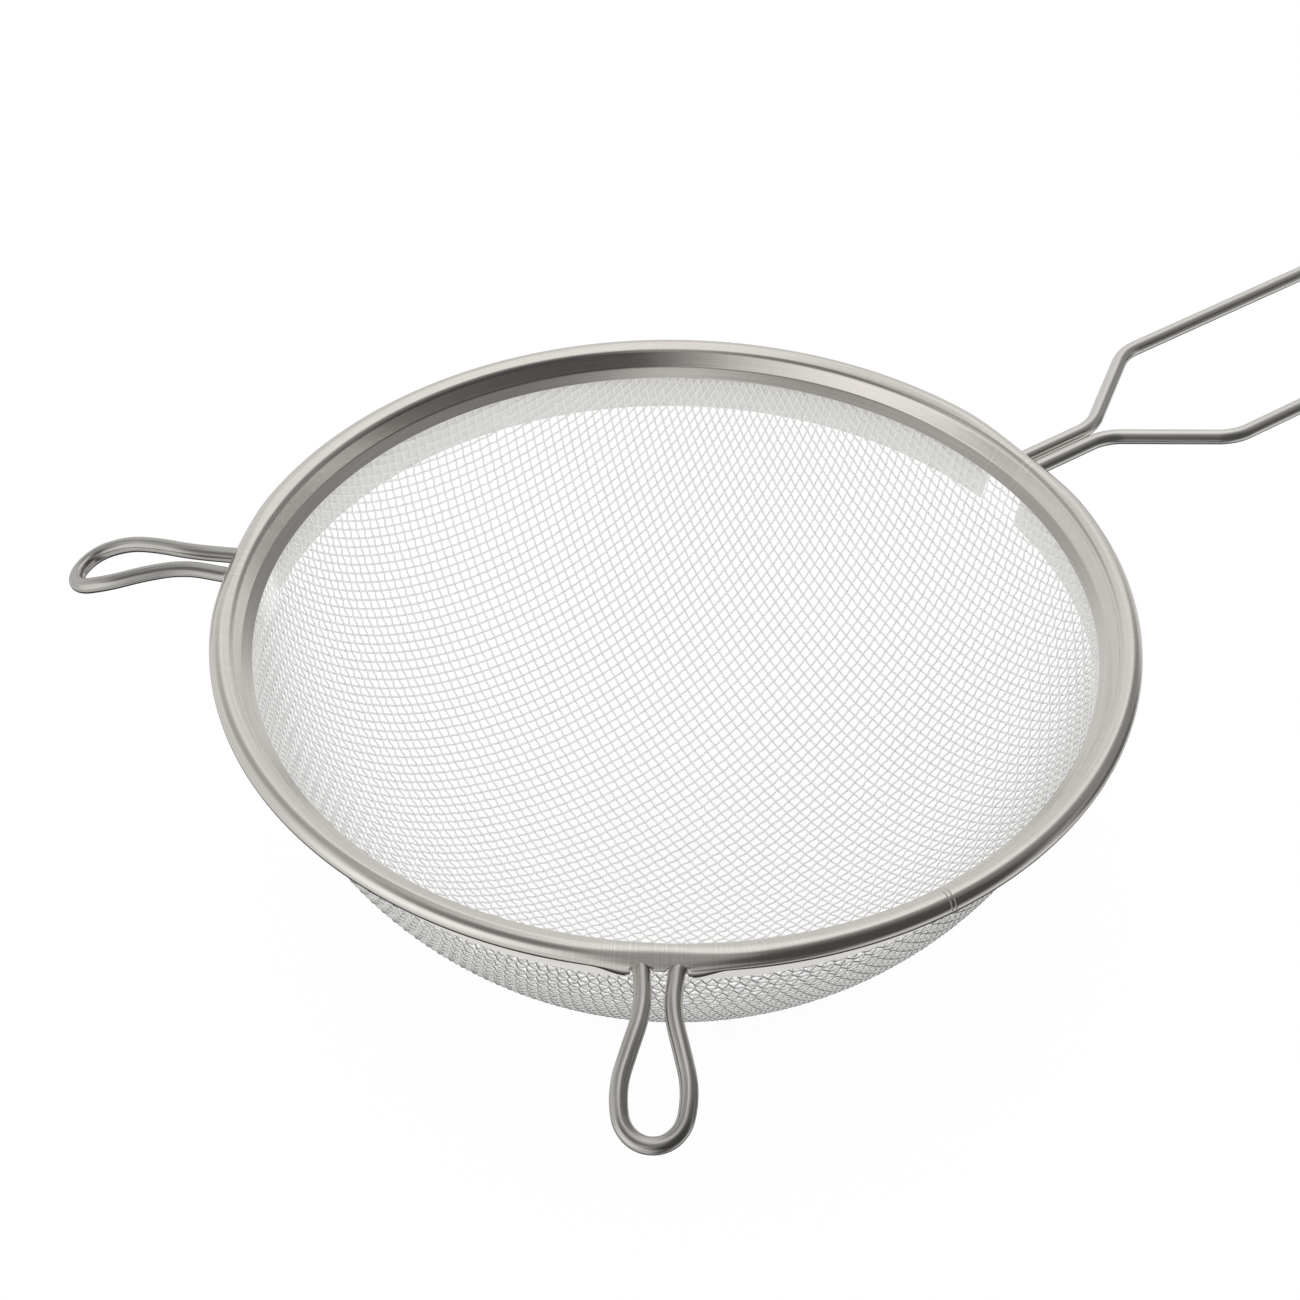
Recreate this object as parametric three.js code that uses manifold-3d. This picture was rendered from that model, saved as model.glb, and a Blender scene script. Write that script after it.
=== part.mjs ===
// Mesh sieve: a deep wire-mesh bowl clamped in a rolled sheet-steel rim, with a long wire handle
// and two rest loops that hook over a pot. Millimetres, +Z up, +X along the handle.
// The origin is the lowest point of the bowl, on its axis.

import * as THREE from 'three';
import { mergeVertices } from 'three/addons/utils/BufferGeometryUtils.js';
import Module from 'manifold-3d';

const wasm = await Module();
wasm.setup();

// Shared sizes
const wireDiameter = 3.5; // handle, rest loops and the wire inside the rim
const fitGap = 0.3; // clearance between pieces that touch

// Rolled rim
const rimDiameter = 200; // over the outside of the bead
const stripThickness = 0.45; // sheet steel
const creaseInset = 6.95; // from the outside of the rim in to the crease between bead and lip
const creaseDrop = 2.25; // from the bead's centre down to the crease
const lipWidth = 8.7; // from the outside of the rim in to the edge of the lip
const lipDrop = 3.6; // from the bead's centre down to the edge of the lip
const skirtInset = 6.2; // from the outside of the rim in to the top of the skirt
const skirtDrop = 12.2; // from the bead's centre down to the skirt's lower edge
const skirtLean = 12; // degrees, the skirt leans in with the mesh
const skirtBend = 1; // bend where the strip turns down into the skirt
const notchWidth = 13; // gap in the skirt where a pair of wires comes out
const notchTop = 1.4; // the gap's top edge, below the bead's centre

// Mesh bowl
const bowlDepth = 77.4; // from the mesh's clamped edge down to the bottom
const meshPitch = 13.35; // strand to strand, along a strand
const strandWidth = 0.95;
const strandThickness = 0.9;

// Handle
const handleLength = 190; // from the outside of the rim to the end of the wire
const handleWidth = 39.3; // between the centres of the two long runs
const neckSpacing = 4.54; // between the centres of the two wires of the neck
const neckEnd = 21; // from the outside of the rim to the bend where the wires part
const spreadEnd = 46; // from the outside of the rim to the bend where they run level again
const spreadBend = 8; // bend radius at both ends of the spread
const handleDrop = 2; // below the bead's centre

// Rest loops
const loopAngleRight = 134.1; // degrees round from the handle
const loopAngleLeft = -127.2;
const loopReach = 36; // from the outside of the rim to the wire's centre at the tip
const loopRootSpacing = 7; // between the legs' centres at the rim
const loopNeckSpacing = 5.4; // at the narrowest place
const loopNeckReach = 5; // from the outside of the rim to the narrowest place
const loopNeckBend = 18;
const loopWidth = 14; // at the shoulders, between the corners of the centre line
const loopShoulderReach = 26.3; // from the outside of the rim to the shoulders
const loopShoulderBend = 20;
const loopEndWidth = 10.6; // across the end, between the corners of the centre line
const loopEndBend = 6.2;
const loopDrop = 1.2; // the legs, below the bead's centre
const loopDroop = 8.6; // the tip hangs this far below the legs

// Feet of the handle and loops inside the bead
const footReach = 15; // from the middle of the pair to the end of each foot
const footBend = 3; // where a foot turns out of the bead
const footStart = 3.2; // from the bend's corner to where the foot lies centred in the bead
const footStations = 3; // along the part that lies centred

// Facets
const wireSides = 8;
const rimSegments = 72;
const beadStep = 36; // degrees
const bendStep = 18; // degrees

// Derived sizes
const degree = Math.PI / 180;
const wireRadius = wireDiameter / 2;
const rimRadius = rimDiameter / 2;
const beadBore = wireRadius + fitGap;
const beadMiddle = beadBore + stripThickness / 2;
const beadCentre = rimRadius - beadBore - stripThickness;
const leanAngle = skirtLean * degree;

// The bead's inner flank runs straight down to the crease, tangent to the bead; the lip goes on flatter.
const lipEdge = new THREE.Vector2(rimRadius - lipWidth, -lipDrop);
const crease = new THREE.Vector2(rimRadius - creaseInset, -creaseDrop);
const creaseToBead = new THREE.Vector2(beadCentre, 0).sub(crease);
const flankSlope = creaseToBead.angle() + Math.asin(beadMiddle / creaseToBead.length());
const lipSlope = crease.clone().sub(lipEdge).angle();
const lipUnderside = (radius) => lipEdge.y + (radius - lipEdge.x) * Math.tan(lipSlope)
  - stripThickness / 2 / Math.cos(lipSlope);

// Below the bead the strip bends down into the skirt, which leans in.
const skirtBendCentre = new THREE.Vector2(
  rimRadius - skirtInset - stripThickness / 2 + skirtBend, -beadMiddle - skirtBend);
const skirtNormal = new THREE.Vector2(Math.cos(leanAngle), -Math.sin(leanAngle));
const skirtTop = skirtBendCentre.clone().addScaledVector(skirtNormal, -skirtBend);
const skirtRadius = (height) => skirtTop.x + (height - skirtTop.y) * Math.tan(leanAngle);

// The mesh's edge stands just under the lip, inside the skirt, with room for strands that arrive aslant.
const mouthRadius = skirtRadius(-lipDrop - fitGap) - (stripThickness / 2 + fitGap) / Math.cos(leanAngle);
const mouthDrop = fitGap + strandWidth / 2 - lipUnderside(mouthRadius - strandThickness);
const beadHeight = bowlDepth + mouthDrop;

const steel = (color, roughness) => new THREE.MeshStandardMaterial({ color, roughness, metalness: 1 });
const satinStrip = steel(0xb8b3aa, 0.32);
const drawnWire = steel(0xa9a59d, 0.28);
const meshWire = steel(0xbdbab4, 0.4);

// Solids for cutting and joining
function toSolid(geometry) {
  const bare = geometry.clone();
  bare.deleteAttribute('normal');
  bare.deleteAttribute('uv');
  const merged = mergeVertices(bare, 1e-4);
  return new wasm.Manifold(new wasm.Mesh({
    numProp: 3,
    vertProperties: new Float32Array(merged.attributes.position.array),
    triVerts: new Uint32Array(merged.index.array),
  }));
}

function toGeometry(solid) {
  const mesh = solid.getMesh();
  const geometry = new THREE.BufferGeometry();
  geometry.setAttribute('position', new THREE.BufferAttribute(mesh.vertProperties, 3));
  geometry.setIndex(new THREE.BufferAttribute(mesh.triVerts, 1));
  geometry.computeVertexNormals();
  return geometry;
}

// A wire's centre line, given as the stations where its section is placed
class StationPath extends THREE.Curve {
  constructor(stations) {
    super();
    this.stations = stations;
  }

  getPoint(t, target = new THREE.Vector3()) {
    const place = t * (this.stations.length - 1);
    const before = Math.min(Math.floor(place), this.stations.length - 2);
    return target.lerpVectors(this.stations[before], this.stations[before + 1], place - before);
  }

  getPointAt(t, target) {
    return this.getPoint(t, target);
  }

  getTangentAt(t, target = new THREE.Vector3()) {
    const last = this.stations.length - 1;
    const here = Math.round(t * last);
    const direction = (from) => this.stations[from + 1].clone().sub(this.stations[from]).normalize();
    const arriving = direction(Math.max(here - 1, 0));
    const leaving = direction(Math.min(here, last - 1));
    return target.copy(arriving).add(leaving).normalize();
  }
}

function wireGeometry(stations, radius = wireRadius) {
  const section = new THREE.Shape().absarc(0, 0, radius, 0, 2 * Math.PI);
  return new THREE.ExtrudeGeometry(section, {
    extrudePath: new StationPath(stations),
    steps: stations.length - 1,
    curveSegments: wireSides / 2,
    bevelEnabled: false,
  });
}

// Rounds each corner of a line of points with an arc of its own radius; no radius keeps the point.
function roundedLine(corners) {
  const stations = [];
  corners.forEach(({ point, radius }, index) => {
    if (!radius) {
      stations.push(point);
      return;
    }
    const arriving = point.clone().sub(corners[index - 1].point).normalize();
    const leaving = corners[index + 1].point.clone().sub(point).normalize();
    const turn = arriving.angleTo(leaving);
    const steps = Math.max(2, Math.ceil(turn / (bendStep * degree)));
    const start = point.clone().addScaledVector(arriving, -radius * Math.tan(turn / 2));
    const inward = leaving.clone().addScaledVector(arriving, -arriving.dot(leaving)).normalize();
    for (let step = 0; step <= steps; step += 1) {
      const angle = turn * step / steps;
      stations.push(start.clone()
        .addScaledVector(arriving, radius * Math.sin(angle))
        .addScaledVector(inward, radius * (1 - Math.cos(angle))));
    }
  });
  return stations.filter((point, index) => index === 0 || point.distanceTo(stations[index - 1]) > 1e-3);
}

// One side of a pair of wires that comes out of the bead along +X: the foot along the bead, the bend
// out of it, then the given corners. The other side is its mirror image.
function pairStations(rootSpacing, drop, corners) {
  const root = rootSpacing / 2;
  const onBead = (across) => {
    const angle = Math.asin(across / beadCentre);
    return new THREE.Vector3(beadCentre * Math.cos(angle), across, 0);
  };
  const foot = Array.from({ length: footStations }, (_, station) => (
    { point: onBead(THREE.MathUtils.lerp(footReach, root + footStart, station / (footStations - 1))) }));
  const side = roundedLine([
    ...foot,
    { point: new THREE.Vector3(beadCentre, root, -drop), radius: footBend },
    ...corners,
  ]);
  const mirrored = side.map((point) => point.clone().multiply(new THREE.Vector3(1, -1, 1))).reverse();
  return [...side, ...mirrored].filter((point, index, all) => (
    index === 0 || point.distanceTo(all[index - 1]) > 1e-3));
}

const outFromRim = (reach, across, drop, radius) => (
  { point: new THREE.Vector3(rimRadius + reach, across, -drop), radius });

const handleStations = pairStations(neckSpacing, handleDrop, [
  outFromRim(neckEnd, neckSpacing / 2, handleDrop, spreadBend),
  outFromRim(spreadEnd, handleWidth / 2, handleDrop, spreadBend),
  outFromRim(handleLength - wireRadius, handleWidth / 2, handleDrop, handleWidth / 2),
  outFromRim(handleLength - wireRadius, 0, handleDrop),
]);

// The loops hang lower towards the tip, along a parabola from the neck out.
const loopStations = pairStations(loopRootSpacing, loopDrop, [
  outFromRim(loopNeckReach, loopNeckSpacing / 2, loopDrop, loopNeckBend),
  outFromRim(loopShoulderReach, loopWidth / 2, loopDrop, loopShoulderBend),
  outFromRim(loopReach, loopEndWidth / 2, loopDrop, loopEndBend),
  outFromRim(loopReach, 0, loopDrop),
]).map((point) => {
  const along = Math.max(0, (point.x - rimRadius - loopNeckReach) / (loopReach - loopNeckReach));
  return point.clone().add(new THREE.Vector3(0, 0, -loopDroop * along * along));
});

// Lengths of wire inside the bead, butted end to end with the feet
function rimWireStations(from, to) {
  const butt = (footReach + fitGap) / beadCentre;
  const start = from * degree + butt;
  const sweep = to * degree - butt - start;
  const steps = Math.ceil(sweep / (2 * Math.PI / rimSegments));
  return Array.from({ length: steps + 1 }, (_, step) => {
    const angle = start + sweep * step / steps;
    return new THREE.Vector3(beadCentre * Math.cos(angle), beadCentre * Math.sin(angle), 0);
  });
}

// The strip's section, one face of it: lip edge, crease, flank, round the bead by quarters, inwards
// below it, down the skirt. The side is +1 for the face that shows and -1 for the hidden one.
function stripFace(side) {
  const offset = side * stripThickness / 2;
  const arc = (centre, radius, from, to) => {
    const steps = Math.round(Math.abs(to - from) / (beadStep * degree));
    return Array.from({ length: steps + 1 }, (_, step) => {
      const angle = from + (to - from) * step / steps;
      return new THREE.Vector2(radius * Math.cos(angle), radius * Math.sin(angle)).add(centre);
    });
  };
  const normalOf = (slope) => new THREE.Vector2(-Math.sin(slope), Math.cos(slope));
  const creaseNormal = normalOf((lipSlope + flankSlope) / 2);
  const creaseOffset = offset / Math.cos((flankSlope - lipSlope) / 2);
  const quarters = [flankSlope + Math.PI / 2, Math.PI / 2, 0, -Math.PI / 2];
  const middle = new THREE.Vector2(beadCentre, 0);
  const bead = quarters.slice(1).flatMap((to, quarter) => (
    arc(middle, beadMiddle + offset, quarters[quarter], to).slice(quarter ? 1 : 0)));
  return [
    lipEdge.clone().addScaledVector(normalOf(lipSlope), offset),
    crease.clone().addScaledVector(creaseNormal, creaseOffset),
    ...bead,
    ...arc(skirtBendCentre, skirtBend - offset, Math.PI / 2, Math.PI - leanAngle),
    new THREE.Vector2(skirtRadius(-skirtDrop), -skirtDrop).addScaledVector(skirtNormal, offset),
  ];
}

function stripRing() {
  const outline = [...stripFace(-1), ...stripFace(1).reverse()];
  const closed = [...outline, outline[0]];
  return new THREE.LatheGeometry(closed, rimSegments).rotateX(Math.PI / 2);
}

// The gap in the skirt and under the bead, cut clear of the flank and the crease
function notchBlock() {
  const clear = (stripThickness + fitGap) / 2;
  const outOfFlank = (height) => crease.x + (height - crease.y) / Math.tan(flankSlope)
    + clear / Math.sin(flankSlope);
  const inOfSkirt = (height) => skirtRadius(height) - clear / Math.cos(leanAngle);
  const corner = (inOfSkirt(0) - outOfFlank(0)) / (1 / Math.tan(flankSlope) - Math.tan(leanAngle));
  const below = -skirtDrop - stripThickness;
  const section = new THREE.Shape([
    new THREE.Vector2(inOfSkirt(below), below),
    new THREE.Vector2(rimRadius + wireDiameter, below),
    new THREE.Vector2(rimRadius + wireDiameter, -notchTop),
    new THREE.Vector2(outOfFlank(-notchTop), -notchTop),
    new THREE.Vector2(inOfSkirt(corner), corner),
  ]);
  return new THREE.ExtrudeGeometry(section, { depth: notchWidth, bevelEnabled: false })
    .translate(0, 0, -notchWidth / 2)
    .rotateX(Math.PI / 2);
}

function rimBand(exits) {
  let band = toSolid(stripRing());
  exits.forEach(({ stations, angle }) => {
    const outside = stations.slice(footStations - 1, 1 - footStations);
    const tunnel = wireGeometry(outside, wireRadius + fitGap).rotateZ(angle * degree);
    band = band.subtract(toSolid(notchBlock().rotateZ(angle * degree))).subtract(toSolid(tunnel));
  });
  return toGeometry(band);
}

// The mesh bowl is a cap of a sphere. Its strands keep their pitch as they are pressed into shape,
// so each crossing lies one pitch from the two before it: the crossing before those, mirrored in the
// plane through them and the centre of the sphere.
function strandNet() {
  const outerRadius = (mouthRadius ** 2 + bowlDepth ** 2) / (2 * bowlDepth);
  const innerRadius = outerRadius - strandThickness;
  const middle = (outerRadius + innerRadius) / 2;
  const mouthAngle = 2 * Math.atan(bowlDepth / mouthRadius);
  const stepAngle = 2 * Math.asin(meshPitch / (2 * middle));
  const count = Math.ceil(mouthAngle / stepAngle) + 1;
  const keepAngle = mouthAngle - 1.5 * strandWidth / middle;
  const polar = (place) => Math.acos(THREE.MathUtils.clamp(-place.z, -1, 1));

  const quarter = Array.from({ length: count + 1 }, () => []);
  const kept = Array.from({ length: count + 1 }, () => []);
  for (let i = 0; i <= count; i += 1) {
    for (let j = 0; j <= count; j += 1) {
      if (i === 0 || j === 0) {
        const angle = (i + j) * stepAngle;
        const out = Math.sin(angle);
        quarter[i][j] = new THREE.Vector3(i ? out : 0, j ? out : 0, -Math.cos(angle));
      } else {
        const plane = quarter[i - 1][j].clone().cross(quarter[i][j - 1]).normalize();
        quarter[i][j] = quarter[i - 1][j - 1].clone().reflect(plane);
      }
      const before = (i === 0 || kept[i - 1][j]) && (j === 0 || kept[i][j - 1]);
      kept[i][j] = before && polar(quarter[i][j]) < keepAngle;
    }
  }
  const place = (i, j) => quarter[Math.abs(i)][Math.abs(j)].clone()
    .multiply(new THREE.Vector3(Math.sign(i) || 1, Math.sign(j) || 1, 1));
  const isKept = (i, j) => Math.abs(i) < count && Math.abs(j) < count && kept[Math.abs(i)][Math.abs(j)];

  const points = [];
  const quad = (a, b, c, d) => points.push(a, b, c, a, c, d);
  const onSphere = (point, radius) => point.clone().normalize().multiplyScalar(radius);
  const pair = (right, left) => [
    onSphere(right, outerRadius), onSphere(left, outerRadius),
    onSphere(left, innerRadius), onSphere(right, innerRadius)];
  const bridge = (from, to) => from.forEach((point, side) => {
    const next = (side + 1) % from.length;
    quad(point, from[next], to[next], to[side]);
  });

  // Corners of the square where two strands cross, by the signs of the two strand directions
  const crossing = (i, j) => {
    const centre = place(i, j).multiplyScalar(middle);
    const along = place(i + 1, j).sub(place(i - 1, j)).normalize();
    const across = place(i, j + 1).sub(place(i, j - 1)).normalize();
    const half = strandWidth / 2 / along.clone().cross(across).length();
    return (u, v) => centre.clone().addScaledVector(along, u * half).addScaledVector(across, v * half);
  };
  // The strand's section where it leaves a crossing; right and left are as seen along its run
  const leaving = (corner, u, v) => (
    pair(corner(u + v, v - u), corner(u - v, v + u)));
  const arriving = (corner, u, v) => (
    pair(corner(v - u, -v - u), corner(-u - v, u - v)));

  for (let i = -count + 1; i < count; i += 1) {
    for (let j = -count + 1; j < count; j += 1) {
      if (!isKept(i, j)) continue;
      const corner = crossing(i, j);
      const ring = [corner(-1, -1), corner(1, -1), corner(1, 1), corner(-1, 1)];
      quad(...ring.map((point) => onSphere(point, outerRadius)).reverse());
      quad(...ring.map((point) => onSphere(point, innerRadius)));
      [[1, 0], [0, 1], [-1, 0], [0, -1]].forEach(([u, v]) => {
        const section = leaving(corner, u, v);
        if (isKept(i + u, j + v)) {
          if (u + v > 0) bridge(section, arriving(crossing(i + u, j + v), u, v));
          return;
        }
        // The strand's end stands in the rim, where its great circle reaches the height of the mouth.
        const here = place(i, j);
        const beyond = place(i + u, j + v);
        const side = here.clone().cross(beyond).normalize();
        const rise = side.clone().cross(here).z;
        const angle = Math.atan2(rise, here.z) - Math.acos(-Math.cos(mouthAngle) / Math.hypot(here.z, rise));
        const end = here.clone().applyAxisAngle(side, angle).multiplyScalar(middle);
        const sideways = side.multiplyScalar(strandWidth / 2);
        const tip = pair(end.clone().add(sideways), end.clone().sub(sideways));
        bridge(section, tip);
        quad(...tip);
      });
    }
  }
  const geometry = mergeVertices(new THREE.BufferGeometry().setFromPoints(points), 1e-4);
  geometry.computeVertexNormals();
  return geometry.translate(0, 0, outerRadius - beadHeight);
}

// Assembly
const sieve = new THREE.Group();
const atBead = new THREE.Group();
atBead.position.z = beadHeight;
sieve.add(atBead);

function addPiece(name, geometry, material, angle = 0) {
  const piece = new THREE.Mesh(geometry, material);
  piece.name = name;
  piece.rotation.z = angle * degree;
  atBead.add(piece);
}

addPiece('rim_band', rimBand([
  { stations: handleStations, angle: 0 },
  { stations: loopStations, angle: loopAngleRight },
  { stations: loopStations, angle: loopAngleLeft },
]), satinStrip);
addPiece('mesh_bowl', strandNet(), meshWire);
addPiece('handle_wire', wireGeometry(handleStations), drawnWire);
addPiece('rest_loop_right', wireGeometry(loopStations), drawnWire, loopAngleRight);
addPiece('rest_loop_left', wireGeometry(loopStations), drawnWire, loopAngleLeft);
addPiece('rim_wire_right', wireGeometry(rimWireStations(0, loopAngleRight)), drawnWire);
addPiece('rim_wire_front', wireGeometry(rimWireStations(loopAngleRight, loopAngleLeft + 360)), drawnWire);
addPiece('rim_wire_left', wireGeometry(rimWireStations(loopAngleLeft, 0)), drawnWire);

export default sieve;
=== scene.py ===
"""Looks of the mesh sieve: a woven wire bowl in a rolled steel rim, with a wire handle and two rest loops.

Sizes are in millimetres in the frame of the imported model: the origin is the lowest point of the bowl, on its
axis, +X runs along the handle and +Z is up. Only the finished meshes are in metres.
"""

import logging
import math
from dataclasses import dataclass
from enum import Enum

import bpy
import numpy as np
from mathutils import Matrix, Vector

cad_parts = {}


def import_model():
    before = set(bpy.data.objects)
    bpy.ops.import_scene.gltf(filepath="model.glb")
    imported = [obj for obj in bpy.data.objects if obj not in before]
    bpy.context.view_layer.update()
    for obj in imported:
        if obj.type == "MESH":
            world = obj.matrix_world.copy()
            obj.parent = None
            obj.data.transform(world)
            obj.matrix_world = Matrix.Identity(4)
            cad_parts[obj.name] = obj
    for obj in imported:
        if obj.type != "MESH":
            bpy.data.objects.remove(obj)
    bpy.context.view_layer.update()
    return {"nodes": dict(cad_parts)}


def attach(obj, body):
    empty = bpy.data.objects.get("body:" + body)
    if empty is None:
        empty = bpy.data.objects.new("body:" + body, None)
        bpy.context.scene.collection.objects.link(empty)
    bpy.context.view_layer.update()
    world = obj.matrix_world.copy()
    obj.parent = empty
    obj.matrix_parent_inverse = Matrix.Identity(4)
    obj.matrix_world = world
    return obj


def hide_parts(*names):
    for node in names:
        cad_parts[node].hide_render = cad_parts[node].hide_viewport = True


Array = np.ndarray
Colour = tuple[float, float, float]
Corner = tuple[tuple[float, float], float]

METRE = 0.001
BODY = "root"

log = logging.getLogger("sieve")


class Slot(Enum):
    """Material slots of the record."""

    STRIP = "satin_strip"
    MESH = "mesh_wire"
    WIRE = "drawn_wire"


@dataclass(frozen=True)
class Sizes:
    """Sizes that several pieces share, as on the solids.

    Attributes:
        wire: Thickness of the wire of handle, loops and bead.
        gap: Play between neighbouring pieces.
        rim: Width over the bead.
        strip: Thickness of the rim's strip.
        crease_inset: From the outside of the rim in to the crease.
        crease_drop: From the bead's centre down to the crease.
        lip_width: From the outside of the rim in to the lip's edge.
        lip_drop: From the bead's centre down to the lip's edge.
        skirt_inset: From the outside of the rim in to the top of the skirt.
        skirt_drop: From the bead's centre down to the skirt's edge.
        skirt_lean: Lean of the skirt, in degrees.
        skirt_bend: Bend of the strip above the skirt.
        bowl_depth: Depth of the mesh bowl.
        strand_width: Width of the strands of the solid net.
        strand_thickness: Their thickness.
    """

    wire: float = 3.5
    gap: float = 0.3
    rim: float = 200.0
    strip: float = 0.45
    crease_inset: float = 6.95
    crease_drop: float = 2.25
    lip_width: float = 8.7
    lip_drop: float = 3.6
    skirt_inset: float = 6.2
    skirt_drop: float = 12.2
    skirt_lean: float = 12.0
    skirt_bend: float = 1.0
    bowl_depth: float = 77.4
    strand_width: float = 0.95
    strand_thickness: float = 0.9

    @property
    def rim_radius(self) -> float:
        """Radius over the outside of the bead."""
        return self.rim / 2

    @property
    def bead_radius(self) -> float:
        """Radius of the bead's section, to the middle of the strip."""
        return self.wire / 2 + self.gap + self.strip / 2

    @property
    def bead_centre(self) -> float:
        """Distance of the bead's centre from the axis."""
        return self.rim_radius - self.bead_radius - self.strip / 2

    @property
    def lip_edge(self) -> tuple[float, float]:
        """Edge of the lip in the section, from the axis and from the bead's centre."""
        return self.rim_radius - self.lip_width, -self.lip_drop

    @property
    def crease(self) -> tuple[float, float]:
        """Crease between lip and bead in the section."""
        return self.rim_radius - self.crease_inset, -self.crease_drop

    @property
    def lean(self) -> float:
        """Lean of the skirt as an angle."""
        return math.radians(self.skirt_lean)

    @property
    def bend_centre(self) -> tuple[float, float]:
        """Centre of the bend above the skirt in the section."""
        skirt_top = self.rim_radius - self.skirt_inset - self.strip / 2
        return skirt_top + self.skirt_bend, -self.bead_radius - self.skirt_bend

    def skirt_radius(self, height: float) -> float:
        """Works out where the skirt is.

        Args:
            height: Height from the bead's centre.

        Returns:
            Distance of the skirt's middle from the axis.
        """
        top_radius = self.bend_centre[0] - self.skirt_bend * math.cos(self.lean)
        top_height = self.bend_centre[1] + self.skirt_bend * math.sin(self.lean)
        return top_radius + (height - top_height) * math.tan(self.lean)

    @property
    def mouth_radius(self) -> float:
        """Outer radius of the mesh where the rim clamps it.

        Returns:
            Distance from the axis, a gap inside the skirt.
        """
        clear = (self.strip / 2 + self.gap) / math.cos(self.lean)
        return self.skirt_radius(-self.lip_drop - self.gap) - clear

    @property
    def bead_height(self) -> float:
        """Height of the bead's centre above the bottom of the bowl.

        Returns:
            The height at which the lip's underside clears the edge of the mesh by the gap.
        """
        lip_slope = math.atan2(self.lip_drop - self.crease_drop, self.lip_width - self.crease_inset)
        inside = self.mouth_radius - self.strand_thickness - self.lip_edge[0]
        underside = inside * math.tan(lip_slope) - self.lip_drop - self.strip / 2 / math.cos(lip_slope)
        return self.bowl_depth + self.gap + self.strand_width / 2 - underside


SIZES = Sizes()


@dataclass
class Surface:
    """A mesh as arrays.

    Attributes:
        points: Corner points in millimetres, one row each.
        quads: Rows of four point numbers.
        caps: Rows of point numbers of the flat end faces.
        flow: Texture place of each point, along and across the surface, in millimetres.
        wear_and_painted_light: From 0 to 1 how much rubbing the surface has at each point, and on the handle
            how far it is painted lighter; below 0 how far it is painted matt white, down to minus 1.
    """

    points: Array
    quads: Array
    caps: Array
    flow: Array
    wear_and_painted_light: Array

    def compact(self) -> "Surface":
        """Drops points that no face uses.

        Returns:
            The surface without them.
        """
        used = np.zeros(len(self.points), dtype=bool)
        used[self.quads.ravel()] = True
        used[self.caps.ravel()] = True
        number = np.cumsum(used) - 1
        return Surface(
            self.points[used], number[self.quads], number[self.caps], self.flow[used], self.wear_and_painted_light[used])


def unit(vectors: Array) -> Array:
    """Scales vectors along the last axis to length one."""
    return vectors / np.linalg.norm(vectors, axis=-1, keepdims=True)


def grid_quads(rows: int, columns: int, wrap_rows: bool, wrap_columns: bool) -> Array:
    """Numbers the quads of a grid of points.

    Args:
        rows: Points along the first parameter.
        columns: Points along the second parameter.
        wrap_rows: Whether the last row joins the first.
        wrap_columns: Whether the last column joins the first.

    Returns:
        Point numbers with shape (row steps, column steps, 4).
    """
    row = np.arange(rows if wrap_rows else rows - 1)[:, None]
    column = np.arange(columns if wrap_columns else columns - 1)[None, :]
    next_row = (row + 1) % rows
    next_column = (column + 1) % columns
    here, below = row * columns, next_row * columns
    return np.stack([here + column, here + next_column, below + next_column, below + column], axis=-1)


def tube(path: Array, along: Array, normal: Array, radius: float, sides: int) -> Array:
    """Carries a circle along paths.

    Each section is the circle radius * (cos a * n + sin a * b), where b is across the path and n is the part
    of the given normal that is square to it.

    Args:
        path: Centre points, shape (..., 3).
        along: Unit directions of the path, same shape.
        normal: Reference directions, same shape.
        radius: Radius of the circle.
        sides: Points round the circle.

    Returns:
        Points with shape (..., sides, 3).
    """
    across = unit(np.cross(along, normal))
    upright = np.cross(across, along)
    angle = np.linspace(0, 2 * np.pi, sides, endpoint=False)[:, None]
    ring = np.cos(angle) * upright[..., None, :] + np.sin(angle) * across[..., None, :]
    return path[..., None, :] + radius * ring


def rounded_line(corners: list[Corner], turn_step: float = math.radians(3)) -> Array:
    """Rounds the corners of a flat line with arcs.

    An arc of radius r at a corner that turns by t starts r * tan(t / 2) before it.

    Args:
        corners: Corner points with the radius of each; zero keeps the point.
        turn_step: Largest turn between two points of an arc.

    Returns:
        Points of the line, shape (n, 2).
    """
    spots = np.array([place for place, _ in corners], dtype=float)
    parts = []
    for number, (_, radius) in enumerate(corners):
        if not radius:
            parts.append(spots[number][None])
            continue
        arriving = unit(spots[number] - spots[number - 1])
        leaving = unit(spots[number + 1] - spots[number])
        turn = math.acos(float(np.clip(arriving @ leaving, -1, 1)))
        inward = unit(leaving - (arriving @ leaving) * arriving)
        start = spots[number] - radius * math.tan(turn / 2) * arriving
        angle = np.linspace(0, turn, max(2, math.ceil(turn / turn_step)) + 1)[:, None]
        parts.append(start + radius * (np.sin(angle) * arriving + (1 - np.cos(angle)) * inward))
    return np.concatenate(parts)


def arc(
    centre: tuple[float, float], radius: float, start: float, end: float, turn_step: float = math.radians(5),
) -> Array:
    """Gives points of an arc.

    Args:
        centre: Centre of the circle.
        radius: Its radius.
        start: Angle of the first point.
        end: Angle of the last point.
        turn_step: Largest turn between two points.

    Returns:
        Points with shape (n, 2).
    """
    angle = np.linspace(start, end, math.ceil(abs(end - start) / turn_step) + 1)
    return np.array(centre) + radius * np.stack([np.cos(angle), np.sin(angle)], axis=1)


def straight(start: Array, end: Array, steps: int) -> Array:
    """Gives points along a straight line, both ends included."""
    return start + np.linspace(0, 1, steps + 1)[:, None] * (end - start)


def lengths_along(line: Array) -> Array:
    """Gives the length of a line from its start to each of its points."""
    return np.concatenate([[0], np.cumsum(np.linalg.norm(np.diff(line, axis=0), axis=1))])


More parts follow.
